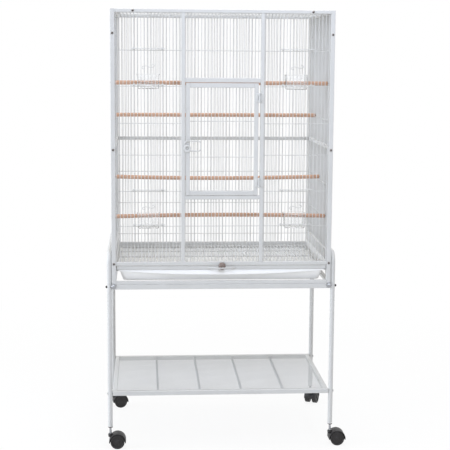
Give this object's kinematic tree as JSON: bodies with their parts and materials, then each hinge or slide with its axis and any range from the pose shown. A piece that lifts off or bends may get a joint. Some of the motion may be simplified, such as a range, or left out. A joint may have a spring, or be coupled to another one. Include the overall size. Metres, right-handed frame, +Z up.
{
  "type": "bird cage on stand",
  "caption": "Tall rectangular wire flight cage with a hinged front door, sliding feeder doors, perches, pull-out grate and tray, on a tube stand with a wire shelf and swivel casters.",
  "frame": {"origin": "on the floor under the middle of the cage", "axes": "+Z up, -Y towards the front with the door, +X to the right seen from the front"},
  "size_m": [0.8891, 0.605, 1.6],
  "materials": {
    "white_powder_coat": "satin",
    "white_wire": "satin",
    "white_sheet": "satin",
    "perch_wood": "sanded",
    "clear_cup_plastic": "clear",
    "black_caster_plastic": "moulded",
    "black_knob_plastic": "moulded",
    "brown_socket_plastic": "moulded",
    "chrome_steel": "polished",
    "zinc_steel": "zinc plated",
    "black_steel": "black"
  },
  "bodies": {
    "cage_and_stand": {"front_frame": "white_powder_coat", "left_side_frame": "white_powder_coat", "right_side_frame": "white_powder_coat", "back_frame": "white_powder_coat", "roof_frame": "white_powder_coat", "door_hinge_pins": "white_powder_coat", "stand_hoop_left": "white_powder_coat", "stand_hoop_right": "white_powder_coat", "stand_rails": "white_powder_coat", "shelf_frame": "white_powder_coat", "front_wires": "white_wire", "left_side_wires": "white_wire", "right_side_wires": "white_wire", "back_wires": "white_wire", "roof_wires": "white_wire", "shelf_wires": "white_wire", "tray_runners": "white_sheet", "perch_1": "perch_wood", "perch_2": "perch_wood", "perch_3": "perch_wood", "perch_4": "perch_wood", "panel_bolts": "zinc_steel", "perch_studs": "zinc_steel", "perch_washers": "zinc_steel", "perch_wing_nuts": "zinc_steel", "clamp_bolts": "chrome_steel", "caster_stems": "chrome_steel", "leg_bolts": "black_steel", "leg_sockets": "brown_socket_plastic"},
    "door": {"door_frame": "white_powder_coat", "door_wires": "white_wire", "door_hinge_knuckles": "white_powder_coat"},
    "latch": {"latch_hub": "white_powder_coat", "latch_lever": "white_powder_coat", "latch_cam": "white_powder_coat"},
    "grate": {"floor_grate": "white_wire", "grate_knob": "black_knob_plastic", "grate_pull": "white_powder_coat"},
    "tray": {"tray": "white_sheet"},
    "feeder_door_lower_left": {"feeder_door_lower_left": "white_wire"},
    "feeder_cup_lower_left": {"feeder_cup_lower_left": "clear_cup_plastic"},
    "feeder_door_lower_right": {"feeder_door_lower_right": "white_wire"},
    "feeder_cup_lower_right": {"feeder_cup_lower_right": "clear_cup_plastic"},
    "feeder_door_upper_left": {"feeder_door_upper_left": "white_wire"},
    "feeder_cup_upper_left": {"feeder_cup_upper_left": "clear_cup_plastic"},
    "feeder_door_upper_right": {"feeder_door_upper_right": "white_wire"},
    "feeder_cup_upper_right": {"feeder_cup_upper_right": "clear_cup_plastic"},
    "caster_front_left": {"caster_hood_front_left": "black_caster_plastic"},
    "wheels_front_left": {"caster_axle_front_left": "zinc_steel", "caster_wheels_front_left": "black_caster_plastic"},
    "caster_front_right": {"caster_hood_front_right": "black_caster_plastic"},
    "wheels_front_right": {"caster_axle_front_right": "zinc_steel", "caster_wheels_front_right": "black_caster_plastic"},
    "caster_rear_left": {"caster_hood_rear_left": "black_caster_plastic"},
    "wheels_rear_left": {"caster_axle_rear_left": "zinc_steel", "caster_wheels_rear_left": "black_caster_plastic"},
    "caster_rear_right": {"caster_hood_rear_right": "black_caster_plastic"},
    "wheels_rear_right": {"caster_axle_rear_right": "zinc_steel", "caster_wheels_rear_right": "black_caster_plastic"}
  },
  "joints": [
    {"name": "door_hinge", "type": "hinge", "parent": "cage_and_stand", "child": "door", "pos_m": [0.1315, -0.2682, 1.141], "axis": [0, 0, 1], "range_deg": [0, 135]},
    {"name": "latch_turn", "type": "hinge", "parent": "door", "child": "latch", "pos_m": [-0.1275, -0.257, 1.109], "axis": [0, -1, 0], "range_deg": [0, 90]},
    {"name": "grate_slide", "type": "slide", "parent": "cage_and_stand", "child": "grate", "axis": [0, -1, 0], "range_m": [0, 0.45]},
    {"name": "tray_slide", "type": "slide", "parent": "cage_and_stand", "child": "tray", "axis": [0, -1, 0], "range_m": [0, 0.45]},
    {"name": "feeder_door_lower_left_slide", "type": "slide", "parent": "cage_and_stand", "child": "feeder_door_lower_left", "axis": [0, 0, 1], "range_m": [0, 0.114]},
    {"name": "feeder_cup_lower_left_lift", "type": "slide", "parent": "cage_and_stand", "child": "feeder_cup_lower_left", "axis": [0, 0, 1], "range_m": [0, 0.015]},
    {"name": "feeder_door_lower_right_slide", "type": "slide", "parent": "cage_and_stand", "child": "feeder_door_lower_right", "axis": [0, 0, 1], "range_m": [0, 0.114]},
    {"name": "feeder_cup_lower_right_lift", "type": "slide", "parent": "cage_and_stand", "child": "feeder_cup_lower_right", "axis": [0, 0, 1], "range_m": [0, 0.015]},
    {"name": "feeder_door_upper_left_slide", "type": "slide", "parent": "cage_and_stand", "child": "feeder_door_upper_left", "axis": [0, 0, 1], "range_m": [0, 0.114]},
    {"name": "feeder_cup_upper_left_lift", "type": "slide", "parent": "cage_and_stand", "child": "feeder_cup_upper_left", "axis": [0, 0, 1], "range_m": [0, 0.015]},
    {"name": "feeder_door_upper_right_slide", "type": "slide", "parent": "cage_and_stand", "child": "feeder_door_upper_right", "axis": [0, 0, 1], "range_m": [0, 0.114]},
    {"name": "feeder_cup_upper_right_lift", "type": "slide", "parent": "cage_and_stand", "child": "feeder_cup_upper_right", "axis": [0, 0, 1], "range_m": [0, 0.015]},
    {"name": "caster_swivel_front_left", "type": "hinge", "parent": "cage_and_stand", "child": "caster_front_left", "pos_m": [-0.4088, -0.256, 0.06], "axis": [0, 0, 1], "continuous": true},
    {"name": "wheel_spin_front_left", "type": "hinge", "parent": "caster_front_left", "child": "wheels_front_left", "pos_m": [-0.3828, -0.256, 0.026], "axis": [0, 1, 0], "continuous": true},
    {"name": "caster_swivel_front_right", "type": "hinge", "parent": "cage_and_stand", "child": "caster_front_right", "pos_m": [0.4088, -0.256, 0.06], "axis": [0, 0, 1], "continuous": true},
    {"name": "wheel_spin_front_right", "type": "hinge", "parent": "caster_front_right", "child": "wheels_front_right", "pos_m": [0.4348, -0.256, 0.026], "axis": [0, 1, 0], "continuous": true},
    {"name": "caster_swivel_rear_left", "type": "hinge", "parent": "cage_and_stand", "child": "caster_rear_left", "pos_m": [-0.4088, 0.256, 0.06], "axis": [0, 0, 1], "continuous": true},
    {"name": "wheel_spin_rear_left", "type": "hinge", "parent": "caster_rear_left", "child": "wheels_rear_left", "pos_m": [-0.3832, 0.26051, 0.026], "axis": [-0.1736, 0.9848, 0], "continuous": true},
    {"name": "caster_swivel_rear_right", "type": "hinge", "parent": "cage_and_stand", "child": "caster_rear_right", "pos_m": [0.4088, 0.256, 0.06], "axis": [0, 0, 1], "continuous": true},
    {"name": "wheel_spin_rear_right", "type": "hinge", "parent": "caster_rear_right", "child": "wheels_rear_right", "pos_m": [0.41979, 0.27956, 0.026], "axis": [-0.9063, 0.4226, 0], "continuous": true}
  ]
}
